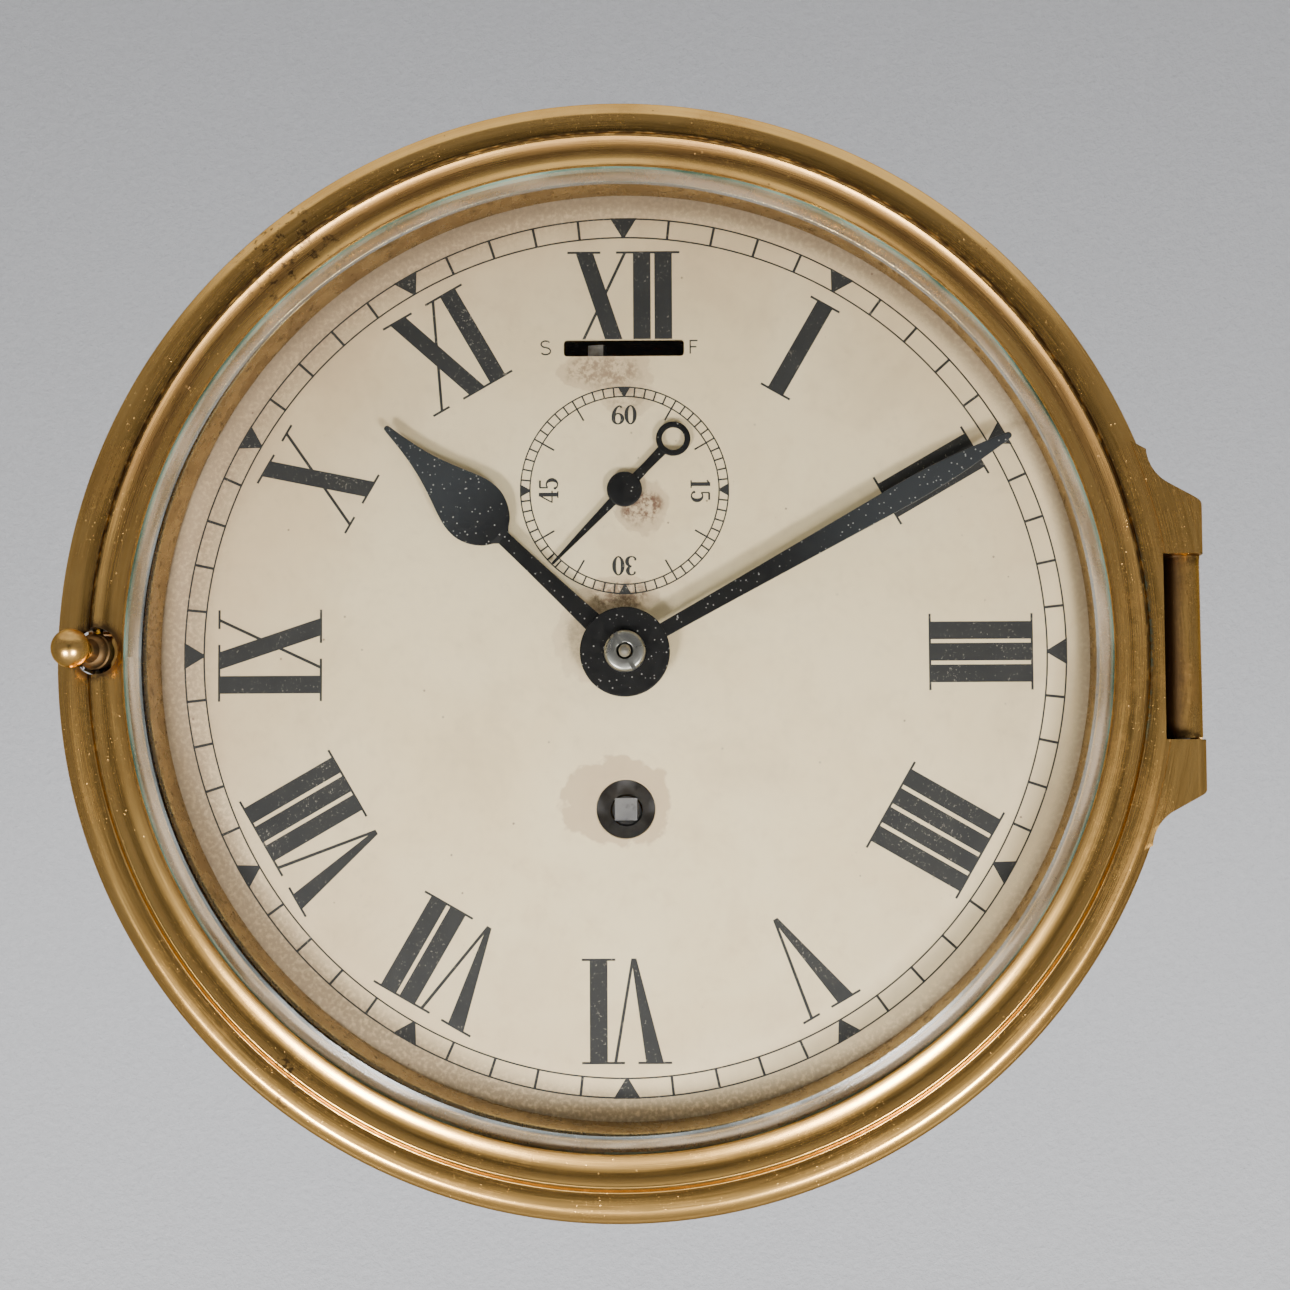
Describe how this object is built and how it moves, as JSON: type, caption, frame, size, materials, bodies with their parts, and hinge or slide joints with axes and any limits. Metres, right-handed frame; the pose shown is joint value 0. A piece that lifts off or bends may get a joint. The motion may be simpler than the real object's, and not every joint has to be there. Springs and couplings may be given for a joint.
{
  "type": "ships bulkhead clock",
  "caption": "Brass cased marine bulkhead clock with a glazed hinged bezel, Roman numeral dial, seconds dial, winding square and geared spring movement",
  "frame": {"origin": "centre of the flat back face that lies against the bulkhead, on the hands' axis", "axes": "-Y out of the dial towards the viewer, +Z towards 12 o'clock, +X towards the bezel hinge at 3 o'clock, +Y into the bulkhead"},
  "size_m": [0.184, 0.0785, 0.184],
  "materials": {
    "brass_case": "aged turned brass with patina",
    "brass_bright": "worn bright brass",
    "brass_plate": "lacquered machined brass",
    "steel": "machined steel",
    "blackened_steel": "black painted hands",
    "dial_paint": "aged cream painted dial",
    "clear_glass": "bevelled flat clock glass"
  },
  "bodies": {
    "case": {"case_flange": "brass_case", "case_drum": "brass_case", "case_mouth": "brass_case", "back_cover": "brass_case", "cover_screw_1": "steel", "cover_screw_2": "steel", "cover_screw_3": "steel", "cover_screw_4": "steel", "hinge_bracket": "brass_case", "hinge_screw_1": "steel", "hinge_screw_2": "steel", "hinge_pin": "steel", "dial": "dial_paint", "dial_surround": "brass_bright", "front_plate": "brass_plate", "back_plate": "brass_plate", "pillar_1": "brass_plate", "pillar_2": "brass_plate", "pillar_3": "brass_plate", "pillar_4": "brass_plate", "pillar_nut_1": "steel", "pillar_nut_2": "steel", "pillar_nut_3": "steel", "pillar_nut_4": "steel", "dial_foot_1": "brass_plate", "dial_foot_2": "brass_plate", "dial_foot_3": "brass_plate", "click_screw": "steel", "click_spring": "steel", "minute_wheel_post": "steel", "platform": "brass_plate", "balance_cock": "brass_plate"},
    "bezel": {"bezel_ring": "brass_case", "glass": "clear_glass", "glass_retaining_ring": "brass_bright", "latch_pin": "steel", "latch_spring": "steel"},
    "latch": {"latch_lever": "brass_bright"},
    "centre": {"centre_wheel": "brass_plate", "cannon_pinion": "steel", "minute_hand": "blackened_steel", "hand_nut": "brass_bright"},
    "hour": {"hour_wheel": "brass_plate", "hour_hand": "blackened_steel"},
    "motion": {"minute_wheel": "brass_plate"},
    "fourth": {"fourth_wheel": "brass_plate", "seconds_hand": "blackened_steel"},
    "third": {"third_wheel": "brass_plate"},
    "intermediate": {"intermediate_wheel": "brass_plate"},
    "barrel": {"barrel": "brass_plate", "barrel_cover": "brass_plate", "mainspring": "steel"},
    "winding": {"winding_arbor": "steel", "ratchet_wheel": "steel"},
    "click": {"click": "steel"},
    "escape": {"escape_wheel": "steel"},
    "pallets": {"pallet_lever": "steel"},
    "balance": {"balance_wheel": "brass_bright", "hairspring": "steel"},
    "index": {"regulator_index": "steel"}
  },
  "joints": [
    {"name": "bezel_hinge", "type": "hinge", "parent": "case", "child": "bezel", "pos_m": [0.0874, -0.0612, 0], "axis": [0, 0, 1], "range_deg": [0, 110]},
    {"name": "latch_rock", "type": "hinge", "parent": "bezel", "child": "latch", "pos_m": [-0.0826, -0.064, 0], "axis": [0, 0, 1], "range_deg": [0, 5], "stiffness_Nm_per_rad": 0.02},
    {"name": "minute_arbor", "type": "hinge", "parent": "case", "child": "centre", "pos_m": [0, -0.045, 0], "axis": [0, 1, 0], "continuous": true},
    {"name": "hour_pipe", "type": "hinge", "parent": "case", "child": "hour", "pos_m": [0, -0.055, 0], "axis": [0, 1, 0], "continuous": true},
    {"name": "minute_wheel_spin", "type": "hinge", "parent": "case", "child": "motion", "pos_m": [0.00707, -0.05, -0.00707], "axis": [0, 1, 0], "continuous": true},
    {"name": "third_arbor", "type": "hinge", "parent": "case", "child": "third", "pos_m": [0.01095, -0.036, 0.01541], "axis": [0, 1, 0], "continuous": true},
    {"name": "seconds_arbor", "type": "hinge", "parent": "case", "child": "fourth", "pos_m": [0, -0.04, 0.0261], "axis": [0, 1, 0], "continuous": true},
    {"name": "intermediate_arbor", "type": "hinge", "parent": "case", "child": "intermediate", "pos_m": [-0.01793, -0.036, -0.00791], "axis": [0, 1, 0], "continuous": true},
    {"name": "barrel_turn", "type": "hinge", "parent": "case", "child": "barrel", "pos_m": [0, -0.038, -0.0246], "axis": [0, 1, 0], "continuous": true},
    {"name": "winding_square", "type": "hinge", "parent": "case", "child": "winding", "pos_m": [0, -0.05, -0.0246], "axis": [0, 1, 0], "continuous": true},
    {"name": "click_lift", "type": "hinge", "parent": "case", "child": "click", "pos_m": [-0.014, -0.049, -0.027], "axis": [0, -1, 0], "range_deg": [0, 12], "stiffness_Nm_per_rad": 0.002},
    {"name": "escape_spin", "type": "hinge", "parent": "case", "child": "escape", "pos_m": [0, -0.0315, 0.041], "axis": [0, 0, 1], "continuous": true},
    {"name": "pallet_rock", "type": "hinge", "parent": "case", "child": "pallets", "pos_m": [0, -0.0365, 0.041], "axis": [0, 0, 1], "range_deg": [-5, 5]},
    {"name": "balance_swing", "type": "hinge", "parent": "case", "child": "balance", "pos_m": [0, -0.0425, 0.0435], "axis": [0, 0, 1], "range_deg": [-220, 220], "stiffness_Nm_per_rad": 0.00002},
    {"name": "regulator_swing", "type": "hinge", "parent": "case", "child": "index", "pos_m": [0, -0.0425, 0.0486], "axis": [0, 0, 1], "range_deg": [-10, 49]}
  ],
  "couplings": [
    {"joint": "hour_pipe", "follows": "minute_arbor", "ratio": 0.083333},
    {"joint": "minute_wheel_spin", "follows": "minute_arbor", "ratio": -0.33333},
    {"joint": "third_arbor", "follows": "minute_arbor", "ratio": -8},
    {"joint": "seconds_arbor", "follows": "minute_arbor", "ratio": 60},
    {"joint": "intermediate_arbor", "follows": "minute_arbor", "ratio": -0.16667},
    {"joint": "barrel_turn", "follows": "minute_arbor", "ratio": 0.027778}
  ]
}
